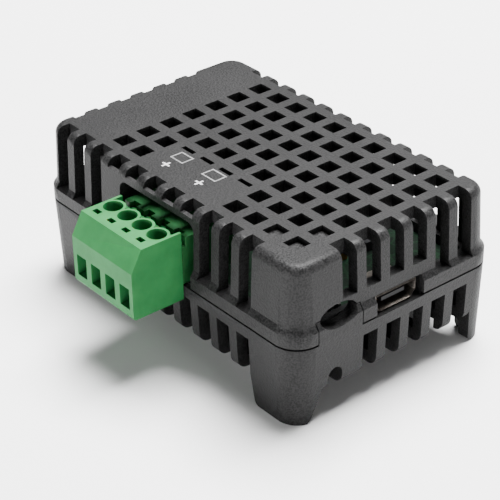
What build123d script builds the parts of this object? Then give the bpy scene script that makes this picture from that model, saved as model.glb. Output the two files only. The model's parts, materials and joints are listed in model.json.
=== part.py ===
from build123d import *
from math import atan2, degrees, radians, tan
import os

# Vented rack temperature sensor: a two-part latticed case on four corner feet, with a
# pluggable screw terminal on one long side and a micro-USB inlet at one end.
# Millimetres, +Z up. The origin is on the surface that the feet stand on, under the middle
# of the whole module. +X points to the inlet end and -Y to the terminal side.
# Each piece is modelled about the middle of the case and moved to the origin when it is written.

# Vent lattice, shared by the roof, the walls and the floor
vent_pitch = 4.4
vent_hole = 2.7
vent_edge = 3.9          # from the roof's left edge to the middle of column 0
first_vent_column = 2    # the roof is plain over the columns before it
row_shift = 0.2          # the middle row lies a little behind the case's centre line
slit_width = 0.8         # what the plain label field leaves of its second row of holes
pocket_depth = 0.9       # the blind holes over the corner block

# Case
cover_length = 58.0      # outline of the roof
cover_width = 36.8
cover_height = 12.3      # parting plane to roof
base_depth = 9.0         # parting plane to underside of the floor
foot_height = 4.2
roof_radius = 3.0        # upright corners, at the roof
roof_edge_radius = 1.4
floor_edge_radius = 1.8
wall = 1.8
roof = 2.0
floor = 2.0
draft = 2.5              # degrees, both halves lean in away from the parting plane
rim_stand = 0.5          # the cover's rim stands out from its walls
rim_band = 2.0
rim_slope = 1.2
rim_angle = 35.0
seam_height = 0.3        # the dark line between the two halves
seam_depth = 0.8
slot_above = 2.0         # parting plane to the foot of a cover slot
slot_above_inlet = 4.9   # the same over the inlet and the release
slot_below = 2.2         # parting plane to the head of a base slot
edge_notch = 1.3         # how far the short slots over the terminal come down
edge_notch_wall = 0.7    # wall left behind those short slots
end_notch = 1.6          # how far the left end's slots cut into the roof and the floor
inlet_slot_shift = -1.0  # the base's inlet slots stand off the lattice

# Locating lip and board seats
lip_height = 1.5
lip_thickness = 1.0
lip_gap = 0.15
post_diameter = 4.4
post_inset_left = 5.2    # post to the left end of the board
post_inset_right = 8.2
post_inset_side = 3.0
peg_diameter = 1.9
peg_rise = 1.2
root = 1.0               # how far posts, pegs and pillars are sunk in what carries them
peg_gap = 0.15
pillar_gap = 0.1

# Corner block under the roof
block_drop = 0.6

# Feet, measured from the case's corner where they leave the floor
front_foot_length = 9.3
front_foot_width = 4.7
rear_foot_length = 4.9
rear_foot_width = 4.1
foot_narrow_length = 0.6     # how much narrower a foot is at the ground
foot_narrow_width = 1.9
rear_foot_narrow = 0.2
foot_wall = 2.0
foot_core = 2.7          # corner square that every foot keeps whole
foot_corner_radius = 1.0

# Release tab at the inlet end
tab_from_inlet = 6.744   # inlet opening's side to the middle of the tab
tab_width = 8.3
tab_height = 3.2
tab_gap = 0.15
tab_notch_from_inlet = 7.536
tab_notch_width = 2.6
tab_notch_height = 3.6
scoop_from_inlet = 6.7
scoop_width = 6.8
scoop_height = 3.45
scoop_rise = 2.9         # parting plane to the middle of the scoop

# Deep cut in the floor behind the sixth slot of the inlet end
deep_cut_length = 3.4
deep_cut_width = 4.4

# Screw terminal: plug and board header
poles = 4
pole_pitch = 3.5
plug_margin = 0.25
plug_height = 11.1
plug_drop = 2.5          # plug underside below the board's top
plug_reach = 8.9
plug_top_reach = 7.0
plug_break = 3.4         # top to the foot of the sloping face
plug_foot_radius = 0.5
plug_gap = 0.1
nose_length = 7.0
terminal_x = -1.4
terminal_margin = 1.6    # header to the side of the opening
terminal_roof = 2.2      # roof to the top of the opening
terminal_corner = 1.5
header_height = 7.6
header_depth = 9.2
header_side = 0.8
header_skin = 1.0
key_width = 1.6
key_depth = 1.5
ear_height = 1.4         # notch in the front of the header's side walls
ear_depth = 0.6
screw_reach = 2.9        # header's face to the screws
screw_head = 2.8
screw_head_height = 1.1
screw_sunk = 2.4
screw_shank = 1.8
screw_slot = 0.5
screw_slot_depth = 0.6
screw_gap = 0.1
screw_turns = (36.0, 151.0, 86.0, 237.0)
cage_length = 3.4
cage_height = 5.6
cage_skin = 0.4
cage_top = 0.8
cage_gap = 0.1
cage_floor = 1.2         # plastic under the cage
window_width = 2.3
window_height = 3.4
window_floor = 1.5
tower_wall = 0.4         # plastic round each screw, free at the plug's back
tower_drop = 1.3         # how far the plug's top steps down behind the towers
tower_reach = 2.3
side_wall = 0.45
probe_reach = 5.5        # header's face to the small test holes
probe_shift = -0.3       # the test holes stand a little to the left of the screws
probe_length = 1.4
probe_width = 0.9
probe_depth = 1.5
pin_side = 1.0
pin_height = 2.6         # board's top to the middle of the pins
pin_reach = 3.2
pin_gap = 0.15
pin_tail = 1.8           # below the board
pin_behind = 0.6         # header's back to the tails

# Micro-USB inlet
inlet_width = 9.0
inlet_offset = 0.4       # the opening is not centred on the socket
inlet_height = 2.95
inlet_corner = 0.2
inlet_sink = 0.4         # the base's rim dips under the socket
socket_width = 7.5
socket_height = 2.5
socket_depth = 5.6
socket_recess = 0.8      # rim's face to the socket's mouth
socket_skin = 0.3
socket_flare = 0.25      # the shell's mouth widens by this on every side
socket_flare_depth = 0.5
socket_bevel_width = 1.0
socket_bevel_height = 0.9
tongue_width = 4.4
tongue_height = 0.6
tongue_length = 3.8
tongue_ceiling = 0.55    # shell's inside top to the tongue
contact_count = 5
contact_pitch = 0.65
contact_width = 0.35
contact_height = 0.15
contact_length = 3.2
mouth_gap = 0.5          # shell's mouth to the tip of the tongue

# Main board
board_thickness = 1.6
board_gap = 0.2
board_corner = 1.0

# Upright sensor board by the first slot of the inlet end
sensor_board_width = 5.6
sensor_board_gap = 0.3       # to the block under the roof
sensor_board_thickness = 1.0
sensor_board_from_socket = 2.7
sensor_board_inset = 1.4     # from the end of the main board
sensor_side = 2.6
sensor_height = 0.9
sensor_window = 1.0
sensor_window_depth = 0.3
sensor_drop = 3.0            # sensor board's top to the middle of the sensor
strip_height = 2.2
strip_depth = 2.0
strip_pitch = 1.27
strip_pins = 4
strip_pin_side = 0.5
strip_pin_out = 0.8

# Parts on the main board: length, width, height
controller_size = (7.0, 7.0, 1.4)
lead_count = 8
lead_pitch = 0.8
lead_size = (1.0, 0.35, 0.3)
crystal_size = (5.0, 3.2, 1.2)
regulator_size = (4.5, 2.5, 1.5)
regulator_tab = (1.8, 1.0, 0.4)
regulator_pitch = 1.5    # between its legs
reservoir_size = (3.5, 2.8, 1.9)
guard_size = (2.9, 1.6, 1.1)
chip_size = (1.6, 0.8, 0.6)

# End caps of the small chip parts, as shares of the part's height and of the cap
cap_share = 1 / 3
cap_proud_share = 1 / 8

# Places on the main board, as shares of its length and width from its middle
controller_share = (0.02, 0.17)
crystal_share = (-0.17, 0.19)
regulator_share = (0.27, 0.24)
reservoir_share = (0.27, 0.05)
guard_shares = ((-0.14, -0.02), (0.06, -0.02))
resistor_shares = ((-0.23, -0.02), (-0.05, -0.02), (0.13, -0.04), (-0.23, -0.10))
capacitor_shares = ((0.16, 0.18), (0.16, 0.10), (-0.10, 0.34), (0.36, 0.36))

overrun = 1.0            # how far cuts run past what they cut


def lean(height):
    """How far a drafted wall leans in over a height."""
    return height * tan(radians(draft))


parting_z = foot_height + base_depth
roof_z = parting_z + cover_height
wall_length = cover_length + 2 * lean(cover_height)
wall_width = cover_width + 2 * lean(cover_height)
wall_radius = roof_radius + lean(cover_height)
rim_length = wall_length + 2 * rim_stand
rim_width = wall_width + 2 * rim_stand
rim_radius = wall_radius + rim_stand
floor_z = foot_height + floor
half_hole = vent_hole / 2
last_column = int((cover_length - vent_edge) / vent_pitch)  # this column only wraps over the edge
last_row = 2 * int(cover_width / 2 / vent_pitch) - 1        # and so does this row
roof_underside = roof_z - roof
lip_inset = wall + lip_gap
rail_inset = lip_inset + lip_thickness
board_top = parting_z
board_low = board_top - board_thickness
board_length = wall_length - 2 * (rail_inset + board_gap)
board_width = wall_width - 2 * (rail_inset + board_gap)
plug_width = poles * pole_pitch + 2 * plug_margin
header_face = -rim_width / 2
plug_low = board_top - plug_drop
plug_top = plug_low + plug_height
opening_width = plug_width + 2 * terminal_margin
module_shift = Pos(0, (plug_gap + plug_reach) / 2, 0)
socket_mouth = rim_length / 2 - socket_recess
inlet_left, inlet_right = inlet_offset - inlet_width / 2, inlet_offset + inlet_width / 2
tab_y = inlet_left - tab_from_inlet
sensor_board_top = roof_underside - block_drop - sensor_board_gap
sensor_board_y = -(socket_width / 2 + sensor_board_from_socket + sensor_board_width / 2)
through_roof = (roof_underside - overrun, roof_z + overrun)
through_floor = (foot_height - overrun, floor_z + overrun)


def column_x(column):
    """Middle of a column of the vent lattice."""
    return vent_edge + column * vent_pitch - cover_length / 2


def row_y(row):
    """Middle of a row of the vent lattice."""
    return (row - (last_row - 1) / 2) * vent_pitch + row_shift


def block(x_span, y_span, z_span):
    """A box between the low and the high value on each axis."""
    spans = (x_span, y_span, z_span)
    size = [high - low for low, high in spans]
    middle = [(high + low) / 2 for low, high in spans]
    return Pos(*middle) * Box(*size)


def around(middle, size):
    """The low and the high value of a span about its middle."""
    return (middle - size / 2, middle + size / 2)


def upright(radius, low, high, x=0, y=0):
    """An upright cylinder between two heights."""
    return Pos(x, y, (low + high) / 2) * Cylinder(radius, high - low)


def cover_hull(low, high, inset=0):
    """The cover's drafted wall outline between two heights, inset all round."""
    shrink = inset + lean(low - parting_z)
    outline = RectangleRounded(wall_length - 2 * shrink, wall_width - 2 * shrink, wall_radius - shrink)
    return Pos(0, 0, low) * extrude(outline, high - low, taper=draft)


def base_hull(low, high, inset=0):
    """The base's drafted wall outline between two heights, inset all round."""
    shrink = inset + lean(parting_z - low)
    outline = RectangleRounded(rim_length - 2 * shrink, rim_width - 2 * shrink, rim_radius - shrink)
    return Pos(0, 0, low) * extrude(outline, high - low, taper=-draft)


def on_side(side, cutter, offset):
    """Place a cutter that points along +X on one of the four sides, at an offset along it."""
    turn, sign = {"inlet": (0, 1), "back": (90, -1), "end": (180, -1), "terminal": (270, 1)}[side]
    return Rot(0, 0, turn) * Pos(0, sign * offset, 0) * cutter


def notch_line(side):
    """Distance from the case's middle to where the slots of a side start on the flat faces."""
    if side == "inlet":
        return column_x(last_column) - half_hole
    if side == "end":
        return cover_length / 2 - end_notch
    if side == "terminal":
        return -row_y(-1) - half_hole
    return row_y(last_row) - half_hole


def half_size(side, length, width):
    """Half the size of the case across a side."""
    return (length if side in ("inlet", "end") else width) / 2


def cover_slot(side, offset, foot):
    """A slot that runs down a cover wall and wraps over the roof's edge."""
    inner = half_size(side, cover_length, cover_width) - wall - overrun
    outer = half_size(side, rim_length, rim_width) + overrun
    in_wall = block((inner, outer), around(0, vent_hole), (foot, roof_underside))
    over_edge = block((notch_line(side), outer), around(0, vent_hole), through_roof)
    return on_side(side, in_wall + over_edge, offset)


def edge_slot(side, offset):
    """A short slot over the terminal: through the roof, and only a notch in the wall's edge."""
    outer = half_size(side, rim_length, rim_width) + overrun
    through = half_size(side, cover_length, cover_width) - edge_notch_wall
    in_roof = block((notch_line(side), through), around(0, vent_hole), through_roof)
    in_edge = block((notch_line(side), outer), around(0, vent_hole), (roof_z - edge_notch, roof_z + overrun))
    return on_side(side, in_roof + in_edge, offset)


def base_slot(side, offset):
    """A slot that runs down a base wall and wraps under the floor's edge."""
    inner = half_size(side, rim_length, rim_width) - rail_inset
    outer = half_size(side, rim_length, rim_width) + overrun
    head = parting_z - slot_below
    in_wall = block((inner, outer), around(0, vent_hole), (floor_z, head))
    under_edge = block((notch_line(side), outer), around(0, vent_hole), through_floor)
    return on_side(side, in_wall + under_edge, offset)


def over_terminal(column, margin):
    """Whether a column of the lattice is over the terminal's opening, or within a margin of it."""
    return abs(column_x(column) - terminal_x) < opening_width / 2 + margin


def roof_cuts():
    """Square holes of the roof, the slits beside the label field and the blind corner holes."""
    blind_cells = ((last_column - 2, 0), (last_column - 1, 0), (last_column - 1, 1))
    cuts = []
    for column in range(first_vent_column, last_column):
        for row in range(last_row):
            x_span = around(column_x(column), vent_hole)
            y_span = around(row_y(row), vent_hole)
            low = roof_underside - overrun
            if row == 0 and over_terminal(column, 0):
                continue
            if row == 1 and over_terminal(column, 0):
                y_span = (y_span[1] - slit_width, y_span[1])
            if (column, row) in blind_cells:
                low = roof_z - pocket_depth
            cuts.append(block(x_span, y_span, (low, roof_z + overrun)))
    return cuts


def cover_wall_cuts():
    """All slots in the cover's four walls."""
    foot = parting_z + slot_above
    raised_foot = parting_z + slot_above_inlet
    cuts = []
    for column in range(last_column - 1):
        if over_terminal(column, vent_pitch / 2):
            cuts.append(edge_slot("terminal", column_x(column)))
        else:
            cuts.append(cover_slot("terminal", column_x(column), foot))
    cuts += [cover_slot("back", column_x(c), foot) for c in range(1, last_column)]
    cuts += [cover_slot("end", row_y(r), foot) for r in range(last_row - 1)]
    for row in range(1, last_row):
        over_inlet = row_y(row) - half_hole < inlet_right
        cuts.append(cover_slot("inlet", row_y(row), raised_foot if over_inlet else foot))
    return cuts


def terminal_opening():
    """The opening for the header, with rounded top corners."""
    hole = block(
        around(terminal_x, opening_width),
        (header_face - overrun, header_face + rim_stand + lean(cover_height) + wall + overrun),
        (parting_z - overrun, roof_z - terminal_roof),
    )
    top_corners = hole.edges().filter_by(Axis.Y).group_by(Axis.Z)[-1]
    return fillet(top_corners, terminal_corner)


def inlet_opening(low):
    """The opening round the micro-USB socket, cut in the cover and dipping into the base."""
    inner = wall_length / 2 - wall - lean(inlet_height) - overrun
    width_span = around(inlet_offset, inlet_width)
    hole = block((inner, rim_length / 2 + overrun), width_span, (low, parting_z + inlet_height))
    top_corners = hole.edges().filter_by(Axis.X).group_by(Axis.Z)[-1]
    return chamfer(top_corners, inlet_corner)


def scoop():
    """The oval finger scoop that the cover and the release tab share."""
    inner = cover_length / 2 - wall - overrun
    middle = (inner, inlet_left - scoop_from_inlet, parting_z + scoop_rise)
    face = Plane(origin=middle, x_dir=(0, 1, 0), z_dir=(1, 0, 0))
    return extrude(face * Ellipse(scoop_width / 2, scoop_height / 2), rim_length / 2 - inner + overrun)


def tab_block(gap):
    """The part of the inlet end that belongs to the base's release tab."""
    inner = wall_length / 2 - wall - lean(tab_height) - overrun
    width_span = around(tab_y, tab_width - 2 * gap)
    z_span = (parting_z - seam_height, parting_z + tab_height - gap)
    return block((inner, rim_length / 2 + overrun), width_span, z_span)


def cover_outside():
    """The cover's outer form: drafted walls, rounded roof edge and the proud rim."""
    walls = cover_hull(parting_z, roof_z)
    roof_edges = walls.faces().sort_by(Axis.Z)[-1].edges()
    rim = RectangleRounded(rim_length, rim_width, rim_radius)
    band = Pos(0, 0, parting_z) * extrude(rim, rim_band)
    slope = Pos(0, 0, parting_z + rim_band) * extrude(rim, rim_slope, taper=rim_angle)
    return fillet(roof_edges, roof_edge_radius) + band + slope


def corner_block():
    """Thicker roof under the blind holes, with the same outline as those three holes and ribs."""
    z_span = (roof_underside - block_drop, roof_underside)
    right, front = (wall_length - wall) / 2, (wall - wall_width) / 2
    cell = vent_pitch / 2
    long_part = block((column_x(last_column - 2) - cell, right), (front, row_y(0) + cell), z_span)
    side_part = block((column_x(last_column - 1) - cell, right), (front, row_y(1) + cell), z_span)
    return (long_part + side_part) & cover_hull(*z_span, wall / 2)


def post_places():
    """The four board seats, ordered front left, front right, back left, back right."""
    left = post_inset_left - board_length / 2
    right = board_length / 2 - post_inset_right
    y = board_width / 2 - post_inset_side
    return [(left, -y), (right, -y), (left, y), (right, y)]


def cover_pillars():
    """Pillars that hold the board down on its seats, all but the one under open vents."""
    pillars = []
    for x, y in post_places()[:3]:
        pillar = upright(post_diameter / 2, board_top + pillar_gap, roof_underside + root, x, y)
        bore_top = board_top + peg_rise + pillar_gap + peg_gap
        bore = upright(peg_diameter / 2 + peg_gap, board_top, bore_top, x, y)
        pillars.append(pillar - bore)
    return pillars


def make_top_cover():
    """Latticed cover."""
    cavity = cover_hull(parting_z - overrun, roof_underside, wall)
    shell = cover_outside() - cavity + corner_block() + cover_pillars()
    cuts = roof_cuts() + cover_wall_cuts()
    cuts += [terminal_opening(), inlet_opening(parting_z - overrun), tab_block(0), scoop()]
    return shell - cuts


def foot_outline(length, narrow):
    """One side of a foot seen square on: full at the floor, narrower and round-cornered below."""
    top = floor_z
    drop = narrow * (top / foot_height - 1)
    corners = ((0, 0), (length - narrow, 0), (length + drop, top), (0, top))
    face = make_face(Polyline(*corners, close=True))
    return fillet(face.vertices().sort_by(Axis.Y)[:2].sort_by(Axis.X)[-1:], foot_corner_radius)


def make_foot(length, width, narrow_length, narrow_width):
    """An L-shaped foot at the right back corner that carries the two walls on down to the ground."""
    ring = base_hull(0, floor_z) - base_hull(0, floor_z, foot_wall)
    corner_x = rim_length / 2 - lean(base_depth)
    corner_y = rim_width / 2 - lean(base_depth)
    along = Plane(origin=(corner_x, corner_y, 0), x_dir=(-1, 0, 0), z_dir=(0, 1, 0))
    across = Plane(origin=(corner_x, corner_y, 0), x_dir=(0, -1, 0), z_dir=(-1, 0, 0))
    long_side = extrude(along * foot_outline(length, narrow_length), foot_core, both=True)
    short_side = extrude(across * foot_outline(width, narrow_width), foot_core, both=True)
    long_strip = block((-rim_length, rim_length), (corner_y - foot_core, rim_width), (0, floor_z))
    short_strip = block((corner_x - foot_core, rim_length), (-rim_width, rim_width), (0, floor_z))
    sides = (long_side & long_strip) + (short_side & short_strip)
    return ring & sides


def base_wall_cuts():
    """All slots in the base's four walls, and the deep cut in its floor."""
    cuts = [base_slot("terminal", column_x(c)) for c in range(first_vent_column, last_column - 1)]
    cuts += [base_slot("back", column_x(c)) for c in range(1, last_column)]
    cuts += [base_slot("end", row_y(r)) for r in range(1, last_row - 1)]
    inlet_slots = [row_y(r) + inlet_slot_shift for r in range(last_row)]
    cuts += [base_slot("inlet", y) for y in inlet_slots if y - half_hole > tab_y + tab_width / 2]
    inner_wall = rim_length / 2 - lean(base_depth) - wall
    deep_span = (inner_wall - deep_cut_length, inner_wall)
    deep_low = inlet_slots[-2] - half_hole
    cuts.append(block(deep_span, (deep_low, deep_low + deep_cut_width), through_floor))
    return cuts


def release_tab():
    """The base's tab that fills the cover's notch, flush with the rim."""
    inside = cover_hull(parting_z - seam_height, parting_z + tab_height, wall)
    return (cover_outside() & tab_block(tab_gap)) - inside - scoop()


def make_base_shell():
    """Base tray with its rail, locating lip, board posts, release tab and four feet."""
    tray = base_hull(foot_height, parting_z)
    tray = fillet(tray.faces().sort_by(Axis.Z)[0].edges(), floor_edge_radius)
    rail_low = parting_z - slot_below
    tray -= base_hull(floor_z, rail_low, wall)
    tray -= cover_hull(rail_low - overrun, parting_z + overrun, rail_inset)
    lip = cover_hull(parting_z - overrun, parting_z + lip_height, lip_inset)
    lip -= cover_hull(parting_z - 2 * overrun, parting_z + lip_height + overrun, rail_inset)
    seam = base_hull(parting_z - seam_height, parting_z + overrun)
    seam -= base_hull(parting_z - seam_height, parting_z + overrun, seam_depth)
    tab_low = parting_z - slot_below
    under_tab = tab_block(tab_gap) + block(
        (rim_length / 2 - wall, rim_length / 2 + overrun),
        around(tab_y, tab_width - 2 * tab_gap),
        (tab_low, parting_z),
    )
    tray -= seam - under_tab
    tray += lip
    tray += release_tab()
    for x, y in post_places():
        tray += upright(post_diameter / 2, floor_z - root, board_low, x, y)
        tray += upright(peg_diameter / 2, board_low - root, board_top + peg_rise, x, y)
    front = make_foot(front_foot_length, front_foot_width, foot_narrow_length, foot_narrow_width)
    front = mirror(front, Plane.XZ)
    rear = make_foot(rear_foot_length, rear_foot_width, rear_foot_narrow, rear_foot_narrow)
    for foot in (front, rear):
        tray += foot
        tray += mirror(foot, Plane.YZ)
    tray -= [header_seat(), socket_seat(), inlet_opening(parting_z - inlet_sink), tab_notch()]
    return tray - base_wall_cuts()


def header_seat():
    """Gap in the rail and the lip for the board's tongue and the header."""
    inner_wall = rim_width / 2 - wall
    return block(
        around(terminal_x, opening_width),
        (-inner_wall, -wall_width / 2 + rail_inset + overrun),
        (board_low, parting_z + lip_height + overrun),
    )


def socket_seat():
    """Gap in the rail and the lip for the board's tongue and the socket."""
    inner_wall = rim_length / 2 - wall
    return block(
        (wall_length / 2 - rail_inset - overrun, inner_wall),
        around(inlet_offset, inlet_width),
        (board_low, parting_z + lip_height + overrun),
    )


def tab_notch():
    """The small arched notch under the release tab."""
    outer = rim_length / 2
    inner = notch_line("inlet")
    y = inlet_left - tab_notch_from_inlet
    arch_z = foot_height + tab_notch_height - tab_notch_width / 2
    face = Plane(origin=(inner, y, arch_z), x_dir=(0, 1, 0), z_dir=(1, 0, 0))
    arch = extrude(face * Circle(tab_notch_width / 2), outer - inner)
    return arch + block((inner, outer), around(y, tab_notch_width), (foot_height - overrun, arch_z))


def make_main_board():
    """Main board with a tongue under the header, one under the socket, and peg holes."""
    z_span = (board_low, board_top)
    plate = extrude(RectangleRounded(board_length, board_width, board_corner), board_thickness)
    plate = Pos(0, 0, board_low) * plate
    header_tongue = block(
        around(terminal_x, opening_width - 2 * board_gap),
        (-rim_width / 2 + wall + board_gap, 0),
        z_span,
    )
    socket_tongue = block(
        (0, rim_length / 2 - wall - board_gap),
        around(inlet_offset, inlet_width - 2 * board_gap),
        z_span,
    )
    board = plate + header_tongue + socket_tongue
    for x, y in post_places():
        board -= upright(peg_diameter / 2 + peg_gap, board_low - overrun, board_top + overrun, x, y)
    for pole in range(poles):
        board -= block(*pin_tail_spans(pole, pin_gap), (board_low - overrun, board_top + overrun))
    for pin in range(strip_pins):
        board -= block(*strip_tail_spans(pin, pin_gap), (board_low - overrun, board_top + overrun))
    return board


def pole_x(pole):
    """Middle of a pole of the terminal."""
    return terminal_x + (pole - (poles - 1) / 2) * pole_pitch


def pin_tail_spans(pole, gap=0):
    """Where a header pin goes down through the board, along X and Y."""
    y = header_face + header_depth + pin_behind + pin_side / 2
    side = pin_side + 2 * gap
    return around(pole_x(pole), side), around(y, side)


def make_terminal_header():
    """Header on the board: an open box for the plug's nose, with key notches in its roof."""
    top = board_top + header_height
    back = header_face + header_depth
    half = plug_width / 2
    body = block((terminal_x - half, terminal_x + half), (header_face, back), (board_top, top))
    inside = half - header_side
    body -= block(
        (terminal_x - inside, terminal_x + inside),
        (header_face - overrun, back - header_skin),
        (board_top + header_skin, top - header_skin),
    )
    for pole in range(poles):
        key_span = (header_face - overrun, header_face + key_depth)
        body -= block(around(pole_x(pole), key_width), key_span, (top - header_skin - overrun, top + overrun))
        pin_z = around(board_top + pin_height, pin_side)
        body -= block(around(pole_x(pole), pin_side), (back - header_skin - overrun, back + overrun), pin_z)
    ear_spans = ((header_face, header_face + ear_depth), (top - ear_height, top))
    return body - block((terminal_x - plug_width, terminal_x + plug_width), *ear_spans)


def make_header_pin(pole):
    """Bent square pin: forward into the plug, back through the header and down through the board."""
    tail_x, tail_y = pin_tail_spans(pole)
    pin_z = around(board_top + pin_height, pin_side)
    forward = block(tail_x, (header_face - pin_reach, tail_y[1]), pin_z)
    down = block(tail_x, tail_y, (board_low - pin_tail, pin_z[1]))
    pin = forward + down
    bend = pin.edges().filter_by(Axis.X).group_by(Axis.Y)[-1].group_by(Axis.Z)[-1]
    return fillet(bend, pin_side / 2)


def plug_y(reach):
    """A distance in front of the header's face."""
    return header_face - reach


def make_terminal_plug():
    """Plug: body with a sloping upper face, and a nose that goes into the header."""
    side = Plane(origin=(terminal_x + plug_width / 2, header_face, 0), x_dir=(0, -1, 0), z_dir=(-1, 0, 0))
    outline = Polyline(
        (plug_gap, plug_low),
        (plug_gap + plug_reach, plug_low),
        (plug_gap + plug_reach, plug_top - plug_break),
        (plug_gap + plug_top_reach, plug_top),
        (plug_gap, plug_top),
        close=True,
    )
    face = make_face(outline)
    foot = face.vertices().group_by(Axis.Y)[0].sort_by(Axis.X)[-1]
    face = fillet(foot, plug_foot_radius)
    body = extrude(side * face, plug_width)
    half_nose = plug_width / 2 - header_side - plug_gap
    nose = block(
        (terminal_x - half_nose, terminal_x + half_nose),
        (plug_y(plug_gap) - overrun, header_face + nose_length),
        (board_top + header_skin + plug_gap, board_top + header_height - header_skin - plug_gap),
    )
    step = block(
        around(terminal_x, plug_width - 2 * side_wall),
        (plug_y(tower_reach), header_face + overrun),
        (plug_top - tower_drop, plug_top + overrun),
    )
    cuts = []
    for pole in range(poles):
        step -= screw_tower(pole)
        cuts += plug_pole_cuts(pole)
    return body - step + nose - cuts


def screw_tower(pole):
    """The round wall that stands free round a screw behind the plug's top."""
    radius = screw_head / 2 + screw_gap + tower_wall
    return upright(radius, plug_top - 2 * tower_drop, plug_top + overrun, pole_x(pole), plug_y(screw_reach))


def cage_spans(pole, gap=0):
    """The clamp cage of one pole, or its pocket when a gap is given."""
    width = pole_pitch - header_side - 2 * cage_gap
    low = plug_low + cage_floor
    return (
        around(pole_x(pole), width + 2 * gap),
        around(plug_y(screw_reach), cage_length + 2 * gap),
        (low, low + cage_height + gap),
    )


def plug_pole_cuts(pole):
    """Pocket for the cage, screw shaft, wire window, pin socket and test hole of one pole."""
    x = pole_x(pole)
    x_span, y_span, z_span = cage_spans(pole, cage_gap)
    window_low = plug_low + window_floor
    shaft = upright(screw_head / 2 + screw_gap, z_span[0], plug_top + overrun, x, plug_y(screw_reach))
    window = block(
        around(x, window_width),
        (plug_y(plug_reach) - overrun, plug_y(screw_reach)),
        (window_low, window_low + window_height),
    )
    socket = block(
        around(x, pin_side + 2 * pin_gap),
        (plug_y(screw_reach), header_face + nose_length + overrun),
        around(board_top + pin_height, pin_side + 2 * pin_gap),
    )
    probe = block(
        around(x + probe_shift, probe_length),
        around(plug_y(probe_reach), probe_width),
        (plug_top - probe_depth, plug_top + overrun),
    )
    return [block(x_span, y_span, z_span), shaft, window, socket, probe]


def make_clamp_cage(pole):
    """Box clamp, open front to back, with the screw's hole in its thick top."""
    x_span, y_span, z_span = cage_spans(pole)
    cage = block(x_span, y_span, z_span)
    inside_x = (x_span[0] + cage_skin, x_span[1] - cage_skin)
    inside_z = (z_span[0] + cage_skin, z_span[1] - cage_top)
    cage -= block(inside_x, (y_span[0] - overrun, y_span[1] + overrun), inside_z)
    hole_radius = screw_shank / 2 + screw_gap
    hole_z = (inside_z[1] - cage_skin, z_span[1] + overrun)
    return cage - upright(hole_radius, *hole_z, pole_x(pole), plug_y(screw_reach))


def make_clamp_screw(pole):
    """Slotted clamp screw, sunk in the plug's top."""
    x, y = pole_x(pole), plug_y(screw_reach)
    head_top = plug_top - screw_sunk
    head_low = head_top - screw_head_height
    tip = plug_low + cage_floor + cage_height - cage_top
    screw = upright(screw_head / 2, head_low, head_top, x, y)
    screw += upright(screw_shank / 2, tip, head_low + screw_slot, x, y)
    slot = block(around(0, screw_head + overrun), around(0, screw_slot), (0, overrun))
    return screw - Pos(x, y, head_top - screw_slot_depth) * Rot(0, 0, slot_turn(pole)) * slot


def slot_turn(pole):
    """The angle that each screw was left at, in degrees."""
    return screw_turns[pole % len(screw_turns)]


def socket_outline(inset):
    """The socket's outline: wide top and bevelled lower corners."""
    half = socket_width / 2 - inset
    low, high = inset, socket_height - inset
    bevel_x, bevel_z = socket_bevel_width, socket_bevel_height
    corners = ((-half, high), (-half, low + bevel_z), (bevel_x - half, low))
    corners += ((half - bevel_x, low), (half, low + bevel_z), (half, high))
    return make_face(Polyline(*corners, close=True))


def socket_plane(x):
    """A plane across the socket at a distance along X, with its local Y up."""
    return Plane(origin=(x, 0, board_top), x_dir=(0, 1, 0), z_dir=(1, 0, 0))


def make_usb_shell():
    """Folded metal shell of the micro-USB socket, closed behind and flared at its mouth."""
    back, neck = socket_mouth - socket_depth, socket_mouth - socket_flare_depth
    slope = -degrees(atan2(socket_flare, socket_flare_depth))
    shell = extrude(socket_plane(back) * socket_outline(0), socket_depth)
    shell += extrude(socket_plane(neck) * socket_outline(0), socket_flare_depth, taper=slope)
    shell -= extrude(socket_plane(back + socket_skin) * socket_outline(socket_skin), socket_depth)
    return shell - extrude(socket_plane(neck) * socket_outline(socket_skin), socket_flare_depth, taper=slope)


def tongue_z():
    """Height of the tongue's underside and top."""
    top = board_top + socket_height - socket_skin - tongue_ceiling
    return (top - tongue_height, top)


def core_span():
    """Back and front of the socket's plastic core along X."""
    return (socket_mouth - socket_depth + socket_skin, socket_mouth - mouth_gap - tongue_length)


def make_usb_insulator():
    """Plastic core of the socket with the contact tongue."""
    back, front = core_span()
    core = extrude(socket_plane(back) * socket_outline(socket_skin), front - back)
    core += block((back, front + tongue_length), around(0, tongue_width), tongue_z())
    for contact in range(contact_count):
        core -= make_usb_contact(contact)
    return core


def make_usb_contact(contact):
    """One contact strip under the tongue, running back into the core."""
    back, front = core_span()
    y = (contact - (contact_count - 1) / 2) * contact_pitch
    low = tongue_z()[0]
    x_span = ((back + front) / 2, front + contact_length)
    return block(x_span, around(y, contact_width), (low, low + contact_height))


def sensor_board_x():
    """The two faces of the upright board along X."""
    outer = board_length / 2 - sensor_board_inset
    return (outer - sensor_board_thickness, outer)


def strip_tail_spans(pin, gap=0):
    """Where a pin of the sensor board's strip goes down through the main board."""
    y = sensor_board_y + (pin - (strip_pins - 1) / 2) * strip_pitch
    side = strip_pin_side + 2 * gap
    return around(sensor_board_x()[0] - strip_depth / 2, side), around(y, side)


def make_sensor_board():
    """Upright board that carries the sensor in the air flow, away from the warm main board."""
    y_span = around(sensor_board_y, sensor_board_width)
    board = block(sensor_board_x(), y_span, (board_top, sensor_board_top))
    for pin in range(strip_pins):
        _, y_pin = strip_tail_spans(pin, pin_gap / 2)
        z_pin = around(board_top + strip_height / 2, strip_pin_side + pin_gap)
        board -= block((sensor_board_x()[0] - overrun, sensor_board_x()[1] + overrun), y_pin, z_pin)
    return board


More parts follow.
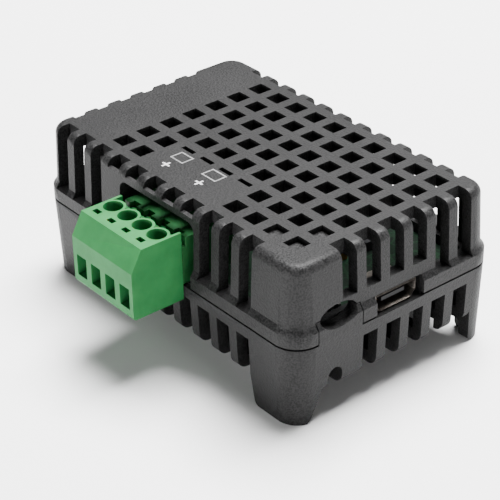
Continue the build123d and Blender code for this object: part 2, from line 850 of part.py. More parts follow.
def make_sensor_chip():
    """Temperature sensor with its open window, on the face towards the slots."""
    outer = sensor_board_x()[1]
    z = sensor_board_top - sensor_drop
    chip = block((outer, outer + sensor_height), around(sensor_board_y, sensor_side), around(z, sensor_side))
    top = outer + sensor_height
    hole = Pos(top - sensor_window_depth / 2, sensor_board_y, z) * Rot(0, 90, 0)
    return chip - hole * Cylinder(sensor_window / 2, sensor_window_depth)


def make_sensor_strip():
    """Plastic strip that holds the angled pins behind the sensor board."""
    inner = sensor_board_x()[0]
    width_span = around(sensor_board_y, strip_pins * strip_pitch)
    strip = block((inner - strip_depth, inner), width_span, (board_top, board_top + strip_height))
    for pin in range(strip_pins):
        strip -= make_sensor_pin(pin)
    return strip


def make_sensor_pin(pin):
    """Angled pin: down through the main board and out through the sensor board."""
    x_span, y_span = strip_tail_spans(pin)
    middle = board_top + strip_height / 2
    down = block(x_span, y_span, (board_low - strip_pin_out, middle + strip_pin_side / 2))
    out = block((x_span[0], sensor_board_x()[1] + strip_pin_out), y_span, around(middle, strip_pin_side))
    return down + out


def on_board(share):
    """A place on the board's top from its shares of the board's length and width."""
    return Pos(share[0] * board_length, share[1] * board_width, board_top)


def seated(size):
    """A small box that stands on the board."""
    return Pos(0, 0, size[2] / 2) * Box(*size)


def make_controller():
    """Microcontroller with leads on its four sides."""
    length, width, height = controller_size
    lead_length, lead_width, lead_height = lead_size
    body = block(around(0, length), around(0, width), (lead_height / 2, height))
    body = chamfer(body.faces().sort_by(Axis.Z)[-1].edges(), lead_height / 2)
    for side in range(4):
        for lead in range(lead_count):
            y = (lead - (lead_count - 1) / 2) * lead_pitch
            foot = block((0, length / 2 + lead_length), around(y, lead_width), (0, lead_height))
            body += Rot(0, 0, side * 90) * foot
    return on_board(controller_share) * body


def make_regulator():
    """Voltage regulator with its three legs and the wide tab opposite."""
    width = regulator_size[1]
    tab_length, leg_length, leg_height = regulator_tab
    body = seated(regulator_size)
    body += block(around(0, tab_length), (0, width / 2 + leg_length), (0, leg_height))
    for leg in range(3):
        x = (leg - 1) * regulator_pitch
        body += block(around(x, leg_height), (-width / 2 - leg_length, 0), (0, leg_height))
    return on_board(regulator_share) * body


def end_capped(size):
    """A small chip part whose two end caps stand slightly proud of its body."""
    length, width, height = size
    cap = height * cap_share
    proud = cap * cap_proud_share
    body = block(around(0, length - cap), around(0, width - 2 * proud), (proud, height - proud))
    ends = [block(around(x, cap), around(0, width), (0, height)) for x in around(0, length - cap)]
    return body + ends


def make_small_parts():
    """The passive parts round the controller."""
    parts = {"crystal": on_board(crystal_share) * seated(crystal_size)}
    parts["reservoir_capacitor"] = on_board(reservoir_share) * end_capped(reservoir_size)
    for number, share in enumerate(guard_shares, 1):
        parts[f"input_guard_{number}"] = on_board(share) * seated(guard_size)
    for number, share in enumerate(resistor_shares, 1):
        parts[f"resistor_{number}"] = on_board(share) * end_capped(chip_size)
    for number, share in enumerate(capacitor_shares, 1):
        parts[f"capacitor_{number}"] = on_board(share) * end_capped(chip_size)
    return parts


def make_module():
    """Every piece of the module under its own name."""
    parts = {
        "top_cover": make_top_cover(),
        "base_shell": make_base_shell(),
        "main_board": make_main_board(),
        "terminal_header": make_terminal_header(),
        "terminal_plug": make_terminal_plug(),
        "usb_shell": make_usb_shell(),
        "usb_insulator": make_usb_insulator(),
        "sensor_board": make_sensor_board(),
        "sensor_chip": make_sensor_chip(),
        "sensor_strip": make_sensor_strip(),
        "microcontroller": make_controller(),
        "voltage_regulator": make_regulator(),
    }
    for pole in range(poles):
        parts[f"header_pin_{pole + 1}"] = make_header_pin(pole)
        parts[f"clamp_cage_{pole + 1}"] = make_clamp_cage(pole)
        parts[f"clamp_screw_{pole + 1}"] = make_clamp_screw(pole)
    for contact in range(contact_count):
        parts[f"usb_contact_{contact + 1}"] = make_usb_contact(contact)
    for pin in range(strip_pins):
        parts[f"sensor_pin_{pin + 1}"] = make_sensor_pin(pin)
    parts.update(make_small_parts())
    return parts


os.makedirs("parts", exist_ok=True)
for name, piece in make_module().items():
    export_step(module_shift * piece, f"parts/{name}.step")
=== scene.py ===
# %% [markdown]
# # A vented temperature sensor for a server rack
#
# This lesson dresses a small electronic module. The real object is a two-part case of charcoal
# plastic, cut through by a lattice of square vents. A green screw terminal plugs into one long
# side, a small power socket sits at one end, and the boards inside can be seen through the vents.
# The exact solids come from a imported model, so they load first and keep their places. Blender
# gives them their finishes and adds the few pieces that are easier to model than to construct.

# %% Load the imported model
import json
import math

import bmesh
import bpy
from mathutils import Matrix, Vector


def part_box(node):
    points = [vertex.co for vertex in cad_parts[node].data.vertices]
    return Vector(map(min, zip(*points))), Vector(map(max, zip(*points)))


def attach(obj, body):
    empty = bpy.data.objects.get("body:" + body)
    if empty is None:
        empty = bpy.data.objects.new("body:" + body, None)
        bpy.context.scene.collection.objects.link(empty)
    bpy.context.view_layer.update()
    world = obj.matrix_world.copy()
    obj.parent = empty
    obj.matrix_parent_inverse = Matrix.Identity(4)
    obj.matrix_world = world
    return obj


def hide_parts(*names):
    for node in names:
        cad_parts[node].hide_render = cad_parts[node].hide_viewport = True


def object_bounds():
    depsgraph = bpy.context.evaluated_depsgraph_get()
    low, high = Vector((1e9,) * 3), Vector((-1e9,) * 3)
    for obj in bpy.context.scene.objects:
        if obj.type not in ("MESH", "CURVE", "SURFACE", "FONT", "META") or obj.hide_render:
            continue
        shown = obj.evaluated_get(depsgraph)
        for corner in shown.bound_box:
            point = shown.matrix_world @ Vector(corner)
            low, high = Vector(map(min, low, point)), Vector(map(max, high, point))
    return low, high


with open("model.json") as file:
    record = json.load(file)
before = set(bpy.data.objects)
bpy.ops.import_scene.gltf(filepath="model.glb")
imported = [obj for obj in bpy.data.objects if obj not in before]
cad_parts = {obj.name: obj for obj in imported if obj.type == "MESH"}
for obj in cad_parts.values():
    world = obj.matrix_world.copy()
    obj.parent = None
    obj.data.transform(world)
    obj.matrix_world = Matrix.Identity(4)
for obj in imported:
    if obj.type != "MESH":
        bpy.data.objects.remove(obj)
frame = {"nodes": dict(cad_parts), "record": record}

MM = 0.001
NEAR = 0.01 * MM    # two places closer than this count as one
FACING = 0.9        # a face whose normal has this much of an axis looks along it

case_low, case_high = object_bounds()
node = frame["nodes"]
print("solids loaded:", len(node))
print("size in mm:", [round(side / MM, 2) for side in case_high - case_low])

# %% [markdown]
# ## The stage
#
# The object stands on a plain pale floor. A small sheet would show its far edge as a line
# behind the object in low views, and a curved backdrop would shade one side more than the other.
# One flat sheet is used, so wide that its far edge stays out of the pictures.

# %% A pale floor

floor_side = 9.0


def clear_selection():
    """Deselect everything, so that an operator only acts on what is made next."""
    if bpy.context.object and bpy.context.object.mode != "OBJECT":
        bpy.ops.object.mode_set(mode="OBJECT")
    bpy.ops.object.select_all(action="DESELECT")


clear_selection()
bpy.ops.mesh.primitive_plane_add(size=floor_side, location=(0, 0, 0))
floor_sheet = bpy.context.object
floor_sheet.name = "floor_sheet"
print("floor side in m:", floor_side)

# %% [markdown]
# ## Shader arithmetic
#
# Every finish below is made of shader nodes. Wiring them by hand is long, so one small class
# wraps a socket and lets Python's own operators add the Math nodes. A finish then reads like
# the formula that it is.

# %% A socket that does arithmetic


class Wire:
    """An output socket of a material's node tree."""

    def __init__(self, tree, socket):
        self.tree = tree
        self.socket = socket

    def node(self, kind, settings, inputs, output=0):
        """Add a node. Its settings are set first, then its inputs, by value or by link."""
        made = self.tree.nodes.new(kind)
        for name, value in settings.items():
            setattr(made, name, value)
        for name, value in inputs.items():
            if isinstance(value, Wire):
                self.tree.links.new(value.socket, made.inputs[name])
            else:
                made.inputs[name].default_value = value
        return Wire(self.tree, made.outputs[output])

    def math(self, operation, first, second):
        return self.node("ShaderNodeMath", {"operation": operation}, {0: first, 1: second})

    def __add__(self, other):
        return self.math("ADD", self, other)

    __radd__ = __add__

    def __mul__(self, other):
        return self.math("MULTIPLY", self, other)

    __rmul__ = __mul__

    def __sub__(self, other):
        return self.math("SUBTRACT", self, other)

    def __rsub__(self, other):
        return self.math("SUBTRACT", other, self)

    def between(self, low, high, new_low=0.0, new_high=1.0):
        """Stretch the span low..high to new_low..new_high, held at its ends."""
        old_span = {"From Min": low, "From Max": high}
        new_span = {"To Min": new_low, "To Max": new_high}
        return self.node("ShaderNodeMapRange", {"clamp": True}, {"Value": self, **old_span, **new_span})

    def blend(self, first, second):
        """A colour that goes from first to second as this wire goes from 0 to 1."""
        settings = {"data_type": "RGBA", "blend_type": "MIX"}
        inputs = {0: self, 6: opaque(first), 7: opaque(second)}
        return self.node("ShaderNodeMix", settings, inputs, output=2)


def opaque(color):
    """A red, green and blue as a colour socket takes it."""
    return (*color, 1.0)


def grey(value):
    """A grey as red, green and blue."""
    return (value, value, value)


# %% [markdown]
# ## A finish and its textures
#
# All finishes share the same start: a Principled shader, and the surface's own coordinates in
# metres. Two textures do most of the work. Noise gives clouds and grain, and a cell texture
# gives the small pits that spark erosion leaves in a mould.

# %% Start a finish


def new_finish(name, color, roughness, metallic=0.0, **fixed):
    """A material with a Principled shader. Fixed values go on the shader's own sockets."""
    material = bpy.data.materials.new(name)
    material.use_nodes = True
    shader = material.node_tree.nodes["Principled BSDF"]
    shader.inputs["Base Color"].default_value = opaque(color)
    shader.inputs["Roughness"].default_value = roughness
    shader.inputs["Metallic"].default_value = metallic
    for socket, value in fixed.items():
        shader.inputs[socket.replace("_", " ")].default_value = value
    print("finish:", name)
    return material


def place_on(material):
    """The surface's coordinates in metres, with the origin under the middle of the module."""
    return Wire(material.node_tree, None).node("ShaderNodeTexCoord", {}, {}, output="Object")


def feed(material, socket, wire):
    """Link a wire to one of the shader's sockets."""
    shader = material.node_tree.nodes["Principled BSDF"]
    material.node_tree.links.new(wire.socket, shader.inputs[socket])


# %% Textures at a size in millimetres


def cloud(place, size, detail=3.0, roughness=0.55):
    """Noise whose features are about that size."""
    inputs = {"Vector": place, "Scale": 1.0 / (size * MM), "Detail": detail, "Roughness": roughness}
    return place.node("ShaderNodeTexNoise", {}, inputs)


def pits(place, size):
    """The distance to the nearest of many scattered points that far apart."""
    return place.node("ShaderNodeTexVoronoi", {}, {"Vector": place, "Scale": 1.0 / (size * MM)})


def cell_walls(place, size, scatter):
    """The distance to the nearest wall of a net of cells of that size."""
    inputs = {"Vector": place, "Scale": 1.0 / (size * MM), "Randomness": scatter}
    return place.node("ShaderNodeTexVoronoi", {"feature": "DISTANCE_TO_EDGE"}, inputs)


def emboss(material, height, depth, strength=1.0):
    """Turn a height from 0 to 1 into a bump that deep."""
    inputs = {"Height": height, "Distance": depth * MM, "Strength": strength}
    feed(material, "Normal", height.node("ShaderNodeBump", {}, inputs))


# %% [markdown]
# ## The case's charcoal plastic
#
# The shells are moulded in charcoal plastic against a spark-eroded tool. Close up the surface is
# a dense field of soft pits three tenths of a millimetre apart, with faint clouds of lighter and
# darker grey. An image of grain would show its edges and stretch over the slots, so the grain
# comes from noise. The shine is kept low, or the pale floor would wash the black walls out.

# %% Charcoal plastic

grain_size = 0.26
pit_spacing = 0.30
grain_depth = 0.065
flow_size = 9.0


def make_charcoal():
    material = new_finish("charcoal_plastic", (0.012, 0.012, 0.0122), 0.5, Specular_IOR_Level=0.11)
    place = place_on(material)
    grain = cloud(place, grain_size, detail=1.0, roughness=0.5)
    flow = cloud(place, flow_size, detail=4.0)
    tone = flow.between(0.3, 0.7) * 0.2 + grain.between(0.38, 0.62) * 0.8
    feed(material, "Base Color", tone.blend((0.0050, 0.0050, 0.0051), (0.0190, 0.0187, 0.0190)))
    feed(material, "Roughness", tone.between(0.0, 1.0, 0.40, 0.58))
    emboss(material, grain * 0.6 + pits(place, pit_spacing) * 0.4, grain_depth)
    return material


charcoal = make_charcoal()

# %% [markdown]
# ## The terminal's green plastics
#
# Plug and header are filled polyamide: satin, slightly cloudy, and a little see-through at thin
# edges. A plain green would look painted, so a touch of subsurface light softens it. The header
# is given the plug's green at half brightness, as painted shade for the cover's shadow over it.
# One function makes both, so that they only differ in colour.

# %% Terminal greens


def make_terminal_green(name, dark, light):
    material = new_finish(
        name, light, 0.52, Specular_IOR_Level=0.1, Subsurface_Weight=0.1, Subsurface_Scale=0.5 * MM
    )
    place = place_on(material)
    haze = cloud(place, 4.0, detail=4.0)
    grain = cloud(place, 0.12, detail=2.0)
    feed(material, "Base Color", haze.between(0.3, 0.7).blend(dark, light))
    feed(material, "Roughness", grain.between(0.3, 0.7, 0.48, 0.60))
    emboss(material, grain, 0.012, strength=0.5)
    return material


plug_green = make_terminal_green("plug_green", (0.014, 0.108, 0.030), (0.022, 0.146, 0.043))
# The header's green is the plug's at half brightness: painted shade for the cover's shadow over it.
painted_shade_header_green = make_terminal_green("painted_shade_header_green", (0.007, 0.054, 0.015), (0.011, 0.074, 0.021))

# %% [markdown]
# ## The boards
#
# A board is glass laminate under a film of green solder mask. Its tracks lie under the film and
# lift it, so they show as slightly paler, raised lines over the faint weave of the glass. Tracks
# could be modelled, but they are only glimpsed through the vents, so the walls of a net of cells
# stand for them. The greens are kept close to black, as painted shade for the dark inside of the case.

# %% Solder mask

track_net = 2.2
weave_scale = 500.0


def make_solder_mask():
    # The mask's greens are kept near black: painted shade for the dark inside of the case.
    material = new_finish("solder_mask_with_painted_shade", (0.001, 0.007, 0.003), 0.5, Specular_IOR_Level=0.10)
    place = place_on(material)
    tracks = 1 - cell_walls(place, track_net, scatter=0.7).between(0.05, 0.07)
    threads = {"Color1": opaque(grey(1.0)), "Color2": opaque(grey(0.7)), "Mortar": opaque(grey(0.0))}
    inputs = {"Vector": place, "Scale": weave_scale, **threads}
    weave = place.node("ShaderNodeTexBrick", {"offset": 0.5}, inputs)
    tone = cloud(place, 3.0).between(0.3, 0.7) * 0.4 + tracks * 0.6
    feed(material, "Base Color", tone.blend((0.0006, 0.0045, 0.0018), (0.003, 0.022, 0.008)))
    emboss(material, weave * 0.3 + tracks * 0.7, 0.02, strength=0.5)
    return material


solder_mask_with_painted_shade = make_solder_mask()

# %% [markdown]
# ## Chips and metals
#
# The small parts behind the vents get finishes of their own: dull moulded or fired bodies, and
# plated metals. Each keeps its grain at the real scale, because the vents can be looked into
# from close by. Every finish could have nodes of its own, but they differ only in tone and
# roughness, so two functions make them all.

# %% Moulded chip bodies and small ceramics


def make_moulded(name, dark, light, roughness):
    """A dull moulded or fired body between two tones."""
    material = new_finish(name, dark, roughness, Specular_IOR_Level=0.15)
    grain = cloud(place_on(material), 0.10, detail=2.0)
    feed(material, "Base Color", grain.between(0.3, 0.7).blend(dark, light))
    feed(material, "Roughness", grain.between(0.3, 0.7, roughness - 0.08, roughness + 0.08))
    emboss(material, grain, 0.008, strength=0.5)
    return material


black_plastic = make_moulded("black_plastic", (0.003, 0.003, 0.003), (0.009, 0.009, 0.010), 0.50)
chip_black = make_moulded("chip_black", (0.014, 0.014, 0.016), (0.030, 0.030, 0.033), 0.60)
tantalum_yellow = make_moulded("tantalum_yellow", (0.16, 0.085, 0.014), (0.24, 0.13, 0.024), 0.50)
resistor_black = make_moulded("resistor_black", (0.02, 0.02, 0.025), (0.04, 0.04, 0.045), 0.35)
ceramic_tan = make_moulded("ceramic_tan", (0.36, 0.25, 0.15), (0.44, 0.33, 0.21), 0.50)

# %% Plated metals


def make_plated(name, dark, light, roughness):
    """A plated metal with faint draw lines along X and cloudy tarnish."""
    material = new_finish(name, light, roughness, metallic=1.0)
    place = place_on(material)
    stretched = place.node("ShaderNodeMapping", {}, {"Vector": place, "Scale": (0.08, 1.0, 1.0)})
    lines = cloud(stretched, 0.05, detail=2.0)
    tarnish = cloud(place, 1.4, detail=4.0)
    feed(material, "Base Color", tarnish.between(0.35, 0.7).blend(light, dark))
    feed(material, "Roughness", lines.between(0.3, 0.7, roughness - 0.07, roughness + 0.09))
    emboss(material, lines, 0.004, strength=0.5)
    return material


# This steel is kept far darker than plated steel: painted shade for the dark inside of the socket.
socket_steel = make_plated("socket_steel", (0.03, 0.025, 0.021), (0.11, 0.10, 0.09), 0.42)
tinned = make_plated("tinned_alloy", (0.20, 0.20, 0.19), (0.36, 0.36, 0.345), 0.40)
clamp_nickel = make_plated("clamp_nickel", (0.38, 0.36, 0.32), (0.58, 0.56, 0.52), 0.34)
screw_zinc = make_plated("screw_zinc", (0.07, 0.07, 0.075), (0.17, 0.175, 0.18), 0.50)
contact_gold = make_plated("contact_gold", (0.62, 0.42, 0.14), (0.80, 0.58, 0.24), 0.26)

# %% Put the finishes on the solids

finish_of_slot = {
    "case_plastic": charcoal,
    "terminal_plastic": plug_green,
    "board_laminate": solder_mask_with_painted_shade,
    "dark_plastic": black_plastic,
    "chip_plastic": chip_black,
    "socket_steel": socket_steel,
    "tinned_pin": tinned,
    "clamp_metal": clamp_nickel,
    "screw_steel": screw_zinc,
    "contact_metal": contact_gold,
    "can_metal": tinned,
    "tantalum_body": tantalum_yellow,
    "resistor_body": resistor_black,
    "ceramic_body": ceramic_tan,
}
for part in frame["record"]["subparts"]:
    surface = node[part["node"]].data
    surface.materials.clear()
    surface.materials.append(finish_of_slot[part["material_slot"]])
# The header gets the half-bright green, which is painted shade.
node["terminal_header"].data.materials[0] = painted_shade_header_green
print("finishes used:", len({body.data.materials[0].name for body in node.values()}))

# %% [markdown]
# ## Broken edges
#
# No moulded edge is razor sharp: the tool leaves a radius of one or two tenths of a millimetre,
# and it catches the light as a thin bright line. Rounding every edge of the lattice in the solids
# would be slow and would fail easily, so modifiers do it. The solids come as loose triangles: a
# Weld modifier joins them first, and a Bevel then rounds only the sharp edges.

# %% Round the sharp edges of the moulded parts

weld_reach = 0.002 * MM
sharp_from = math.radians(35)


def round_edges(part, radius):
    """Join a solid's triangles and round its sharp edges by a radius in millimetres."""
    weld = part.modifiers.new("join_triangles", "WELD")
    weld.merge_threshold = weld_reach
    bevel = part.modifiers.new("edge_radius", "BEVEL")
    bevel.width = radius * MM
    bevel.segments = 2
    bevel.limit_method = "ANGLE"
    bevel.angle_limit = sharp_from
    print(part.name, "edge radius in mm:", radius)


edge_radii = {"top_cover": 0.16, "base_shell": 0.16, "terminal_plug": 0.12, "terminal_header": 0.10}
for name, radius in edge_radii.items():
    round_edges(node[name], radius)

# %% [markdown]
# ## Working like a modeller
#
# The new pieces below start from one of Blender's primitives, at its size and place, and are
# then shaped in edit mode. These helpers do what a hand does on the screen: add a block or a
# rod, pick faces or edges by where they are, run an operator on them and apply a modifier.

# %% Hold a piece, and write its place and turn into its mesh


def hold(piece):
    """Select one piece alone and make it the active one."""
    clear_selection()
    piece.select_set(True)
    bpy.context.view_layer.objects.active = piece


def write_in(piece):
    """Move a piece's place, turn and scale into its mesh."""
    hold(piece)
    bpy.ops.object.transform_apply(location=True, rotation=True, scale=True)


# %% Start a block or a rod


def start_block(name, low, high):
    """A block between two corners."""
    clear_selection()
    low, high = Vector(low), Vector(high)
    bpy.ops.mesh.primitive_cube_add(size=1.0, location=(low + high) / 2)
    piece = bpy.context.object
    piece.name = name
    piece.scale = high - low
    write_in(piece)
    return piece


def start_rod(name, radius, low, high, sides=48):
    """An upright rod on the Z axis between two heights."""
    clear_selection()
    place = (0, 0, (low + high) / 2)
    bpy.ops.mesh.primitive_cylinder_add(vertices=sides, radius=radius, depth=high - low, location=place)
    piece = bpy.context.object
    piece.name = name
    write_in(piece)
    return piece


# %% Pick faces or edges


def pick(piece, kind, test):
    """Enter edit mode with only those faces or edges selected whose test holds."""
    hold(piece)
    bpy.ops.object.mode_set(mode="EDIT")
    bpy.ops.mesh.select_mode(type=kind)
    bpy.ops.mesh.select_all(action="DESELECT")
    mesh = bmesh.from_edit_mesh(piece.data)
    for element in mesh.faces if kind == "FACE" else mesh.edges:
        if test(element):
            element.select_set(True)
    mesh.select_flush_mode()
    bmesh.update_edit_mesh(piece.data)


def every(element):
    """A test that holds for every face or edge."""
    return True


def edge_middle(edge):
    """The point halfway along an edge."""
    return (edge.verts[0].co + edge.verts[1].co) / 2


# %% Carve, thicken and finish a piece


def carve(piece, cutter):
    """Cut one piece out of another for good, and remove the cutter."""
    cut = piece.modifiers.new("cut", "BOOLEAN")
    cut.object = cutter
    cut.solver = "EXACT"
    hold(piece)
    bpy.ops.object.modifier_apply(modifier=cut.name)
    bpy.data.objects.remove(cutter, do_unlink=True)


def thicken(piece, thickness, side):
    """Give a sheet a thickness, inwards (-1) or outwards (1)."""
    wall = piece.modifiers.new("thickness", "SOLIDIFY")
    wall.thickness = thickness
    wall.offset = side
    wall.use_even_offset = True
    hold(piece)
    bpy.ops.object.modifier_apply(modifier=wall.name)


def settle(piece, finish, angle=35):
    """Finish a piece: smooth its gentle edges, give it its finish and let it ride."""
    hold(piece)
    bpy.ops.object.shade_smooth_by_angle(angle=math.radians(angle))
    piece.data.materials.clear()
    piece.data.materials.append(finish)
    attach(piece, "root")
    print(piece.name, "faces:", len(piece.data.polygons))


def copy_to(piece, name, place, turn=0.0):
    """Copy a piece that was made on the Z axis to a place, turned by some degrees."""
    twin = piece.copy()
    twin.data = piece.data.copy()
    twin.name = name
    bpy.context.scene.collection.objects.link(twin)
    twin.location = place
    twin.rotation_euler.z = math.radians(turn)
    write_in(twin)
    return twin


# %% [markdown]
# ## The marks on the roof
#
# The plain field over the terminal carries white pad-printed marks that tell the terminals
# apart: a square outline with a small sign in front of each. Print is a film of ink some
# hundredths of a millimetre thick. Painting it in the material would tie it to the whole
# cover, so each mark is a thin sheet: a plane whose middle is inset and deleted leaves a
# frame, and a plane whose edges are extruded becomes a plus sign.

# %% White ink, bright and faint


def make_ink(name, worn, fresh):
    """Pad-printed ink that is worn in places, between two greys."""
    material = new_finish(name, grey(fresh), 0.6)
    wear = cloud(place_on(material), 0.30, detail=4.0)
    feed(material, "Base Color", wear.between(0.3, 0.6).blend(grey(worn), grey(fresh)))
    feed(material, "Roughness", wear.between(0.3, 0.7, 0.5, 0.7))
    return material


bright_ink = make_ink("bright_ink", 0.14, 0.50)
faint_ink = make_ink("faint_ink", 0.05, 0.17)

# %% A square outline and a plus sign

ink_height = 0.03 * MM
square_line = 0.24 * MM
plus_line = 0.32 * MM
plus_arm = 0.62 * MM
roof_top = case_high.z


def start_sheet(name, middle, length, width):
    """A flat rectangle on the roof."""
    clear_selection()
    bpy.ops.mesh.primitive_plane_add(size=1.0, location=middle)
    sheet = bpy.context.object
    sheet.name = name
    sheet.scale = (length, width, 1.0)
    write_in(sheet)
    return sheet


def print_square(name, x, y, length, width):
    """A square outline, in millimetres: the middle of a sheet is inset and taken out."""
    sheet = start_sheet(name, Vector((x * MM, y * MM, roof_top)), length * MM, width * MM)
    pick(sheet, "FACE", every)
    bpy.ops.mesh.inset(thickness=square_line, depth=0.0)
    bpy.ops.mesh.delete(type="FACE")
    bpy.ops.object.mode_set(mode="OBJECT")
    thicken(sheet, ink_height, 1)
    settle(sheet, faint_ink)


def print_plus(name, x, y):
    """A plus sign, in millimetres: the four edges of a small square are extruded in turn."""
    middle = Vector((x * MM, y * MM, roof_top))
    sheet = start_sheet(name, middle, plus_line, plus_line)
    for side in (Vector((1, 0, 0)), Vector((-1, 0, 0)), Vector((0, 1, 0)), Vector((0, -1, 0))):
        foot = middle + side * plus_line / 2
        pick(sheet, "EDGE", lambda edge: (edge_middle(edge) - foot).length < NEAR)
        bpy.ops.mesh.extrude_region_move(TRANSFORM_OT_translate={"value": side * plus_arm})
        bpy.ops.object.mode_set(mode="OBJECT")
    thicken(sheet, ink_height, 1)
    settle(sheet, bright_ink)


# %% Print the four marks

print_square("mark_square_left", x=-6.2, y=-5.4, length=2.9, width=2.3)
print_square("mark_square_right", x=1.1, y=-5.2, length=3.2, width=2.3)
print_plus("mark_plus_left", x=-6.15, y=-8.4)
print_plus("mark_plus_right", x=1.4, y=-8.2)

# %% [markdown]
# ## The clamp screws
#
# Each pole has a slotted steel screw, sunk in its shaft and left at its own angle. The solid
# has a sharp plain head. The real one is turned, so its rim is rounded, its slot is milled with
# a flat floor and its shank is thinner than its head. The slots could be cut into the four
# solids, but one screw that is made on the Z axis and copied to the shafts needs its cuts once.

# %% Turn and slot one screw

screw_low, screw_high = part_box("clamp_screw_1")
screw_radius = (screw_high.x - screw_low.x) / 2
head_height = 1.1 * MM
head_rounding = 0.22 * MM
shank_radius = 0.9 * MM
slot_width = 0.5 * MM
slot_depth = 0.6 * MM
slot_reach = screw_radius * 1.2    # the cutter passes the rim on both sides
head_foot = screw_high.z - head_height

screw = start_rod("screw_pattern", screw_radius, head_foot, screw_high.z)
pick(screw, "FACE", lambda face: face.normal.z < -FACING)
bpy.ops.mesh.inset(thickness=screw_radius - shank_radius, depth=0.0)
bpy.ops.mesh.extrude_region_move(TRANSFORM_OT_translate={"value": (0, 0, screw_low.z - head_foot)})
pick(screw, "EDGE", lambda edge: all(point.co.z > screw_high.z - NEAR for point in edge.verts))
bpy.ops.mesh.bevel(offset=head_rounding, segments=3, affect="EDGES")
bpy.ops.object.mode_set(mode="OBJECT")
cutter_low = (-slot_reach, -slot_width / 2, screw_high.z - slot_depth)
cutter_high = (slot_reach, slot_width / 2, screw_high.z + slot_depth)
carve(screw, start_block("slot_cutter", cutter_low, cutter_high))
print("screw head across, in mm:", round(2 * screw_radius / MM, 2))

# %% Copy it to the four shafts

screw_turns = (36.0, 151.0, 86.0, 237.0)
for number, screw_turn in enumerate(screw_turns, 1):
    low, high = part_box(f"clamp_screw_{number}")
    shaft = ((low.x + high.x) / 2, (low.y + high.y) / 2, 0.0)
    twin = copy_to(screw, f"slotted_screw_{number}", shaft, screw_turn)
    settle(twin, screw_zinc)
    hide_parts(f"clamp_screw_{number}")
bpy.data.objects.remove(screw, do_unlink=True)

# %% [markdown]
# ## The socket's folded shell
#
# The power socket is a box folded from thin plated steel. Its mouth is flared so that the plug
# finds its way in, its lower corners are cut off, and the fold leaves every corner round. It
# could be cut out of a solid block, but it is made here as it is folded: a block loses its
# front, the rim is drawn out and widened, and the sheet then gets its thickness.

# %% Fold the socket's shell

shell_low, shell_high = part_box("usb_shell")
flare = 0.25 * MM
flare_depth = 0.5 * MM
cut_corner = 0.95 * MM
fold_radius = 0.22 * MM
sheet_steel = 0.28 * MM
neck = shell_high.x - flare_depth
inner_low = Vector((shell_low.x, shell_low.y + flare, shell_low.z + flare))
inner_high = Vector((neck, shell_high.y - flare, shell_high.z - flare))
shell_middle = (inner_low + inner_high) / 2
width, height = inner_high.y - inner_low.y, inner_high.z - inner_low.z
mouth_growth = (1.0, (width + 2 * flare) / width, (height + 2 * flare) / height)


def runs_along(edge):
    """Whether an edge runs along the socket, from its back to its mouth."""
    return abs(edge.verts[0].co.x - edge.verts[1].co.x) > flare_depth


shell = start_block("folded_socket_shell", inner_low, inner_high)
pick(shell, "EDGE", lambda edge: runs_along(edge) and edge_middle(edge).z < shell_middle.z)
bpy.ops.mesh.bevel(offset=cut_corner, segments=1, affect="EDGES")
pick(shell, "EDGE", runs_along)
bpy.ops.mesh.bevel(offset=fold_radius, segments=4, affect="EDGES")
pick(shell, "FACE", lambda face: face.normal.x > FACING)
bpy.ops.mesh.delete(type="ONLY_FACE")
pick(shell, "EDGE", lambda edge: all(point.co.x > neck - NEAR for point in edge.verts))
bpy.ops.mesh.extrude_region_move(TRANSFORM_OT_translate={"value": (flare_depth, 0, 0)})
bpy.ops.transform.resize(value=mouth_growth, center_override=(shell_high.x, *shell_middle.yz))
bpy.ops.object.mode_set(mode="OBJECT")
thicken(shell, sheet_steel, -1)
# The shell gets the dark steel, which is painted shade for the socket's inside.
settle(shell, socket_steel, angle=40)
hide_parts("usb_shell")

# %% [markdown]
# ## Solder on the upright board
#
# The four angled pins of the sensor board come out of its face towards the slots, and each is
# held by a bright cone of solder. Solder wets both board and pin, so its side is hollow, not
# straight. It could be spun from a curve, but at this size a cone is enough: it gets a ring cut
# across it, which is then drawn in.

# %% Model one solder cone

cone_height = 0.42 * MM
cone_foot = 0.56 * MM
cone_tip = 0.27 * MM
ring_height = cone_height * 0.4
ring = Vector((0, 0, ring_height))
drawn_in = 0.80
cone_middle = (0, 0, cone_height / 2)

clear_selection()
bpy.ops.mesh.primitive_cone_add(
    vertices=24, radius1=cone_foot, radius2=cone_tip, depth=cone_height, location=cone_middle
)
cone = bpy.context.object
cone.name = "solder_pattern"
write_in(cone)
pick(cone, "FACE", every)
bpy.ops.mesh.bisect(plane_co=ring, plane_no=(0, 0, 1))
pick(cone, "EDGE", lambda edge: abs(edge_middle(edge).z - ring_height) < NEAR)
bpy.ops.transform.resize(value=(drawn_in, drawn_in, 1.0), center_override=ring)
bpy.ops.object.mode_set(mode="OBJECT")
cone.rotation_euler.y = math.radians(90)
write_in(cone)
print("cone faces:", len(cone.data.polygons))

# %% Copy it to the four pins

board_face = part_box("sensor_board")[1].x
pin_half = 0.25 * MM
for number in range(1, 5):
    low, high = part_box(f"sensor_pin_{number}")
    pin_middle = (board_face, (low.y + high.y) / 2, high.z - pin_half)
    joint = copy_to(cone, f"solder_joint_{number}", pin_middle)
    settle(joint, tinned, angle=50)
bpy.data.objects.remove(cone, do_unlink=True)

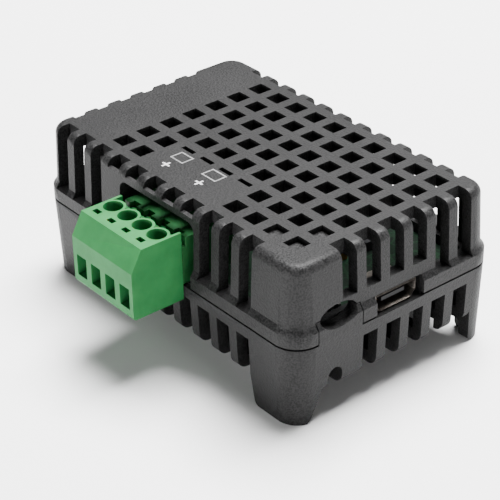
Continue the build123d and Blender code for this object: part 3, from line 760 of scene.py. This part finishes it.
# %% [markdown]
# ## Light and camera
#
# A large soft lamp stands high behind the module and lights its roof. Two small lamps face its
# terminal side and its inlet end head on. At a slant, their light would fall on the inner walls
# of the slots, which should stay dark. The world gives only a little light, for the same reason.
# The camera stands where the picture was taken from.

# %% Soft studio light

lamp_target = Vector((0.0, 0.0, 0.012))
room_light = 0.12


def soft_lamp(name, place, size, power):
    """A square area lamp that points at the module, in metres and watts."""
    lamp = bpy.data.lights.new(name, "AREA")
    lamp.shape = "SQUARE"
    lamp.size = size
    lamp.energy = power
    holder = bpy.data.objects.new(name, lamp)
    bpy.context.scene.collection.objects.link(holder)
    holder.location = place
    holder.rotation_euler = (lamp_target - Vector(place)).to_track_quat("-Z", "Y").to_euler()
    print(name, "lamp, watts:", power)


soft_lamp("overhead", (-0.10, 0.26, 0.72), size=0.46, power=44.0)
soft_lamp("terminal_side", (0.04, -0.80, 0.10), size=0.20, power=6.5)
soft_lamp("inlet_side", (0.80, -0.02, 0.10), size=0.20, power=3.0)

world = bpy.data.worlds.new("pale_room")
world.use_nodes = True
room = world.node_tree.nodes["Background"]
room.inputs["Color"].default_value = opaque(grey(1.0))
room.inputs["Strength"].default_value = room_light
bpy.context.scene.world = world

floor_white = new_finish("floor_white", grey(0.82), 0.9)
floor_sheet.data.materials.append(floor_white)

# %% The camera

camera_place = Vector((176.91, -140.74, 147.90)) * MM
camera_target = Vector((2.0, 0.5, 11.0)) * MM
picture_forward = Vector((-0.56757, 0.64582, -0.51066))
picture_up = Vector((-0.38804, 0.33720, 0.85774))
aim = (camera_target - camera_place).normalized()
recentred = picture_forward.rotation_difference(aim)
right = aim.cross(recentred @ picture_up).normalized()
up = right.cross(aim)

lens = bpy.data.cameras.new("studio_camera")
lens.sensor_width = 36.0
lens.lens = 126.0
lens.clip_start = 0.01
lens.clip_end = 20.0
camera = bpy.data.objects.new("studio_camera", lens)
bpy.context.scene.collection.objects.link(camera)
camera.matrix_world = Matrix.Translation(camera_place) @ Matrix((right, up, -aim)).transposed().to_4x4()
bpy.context.scene.camera = camera
print("camera to module in mm:", round(camera_place.length / MM, 1))
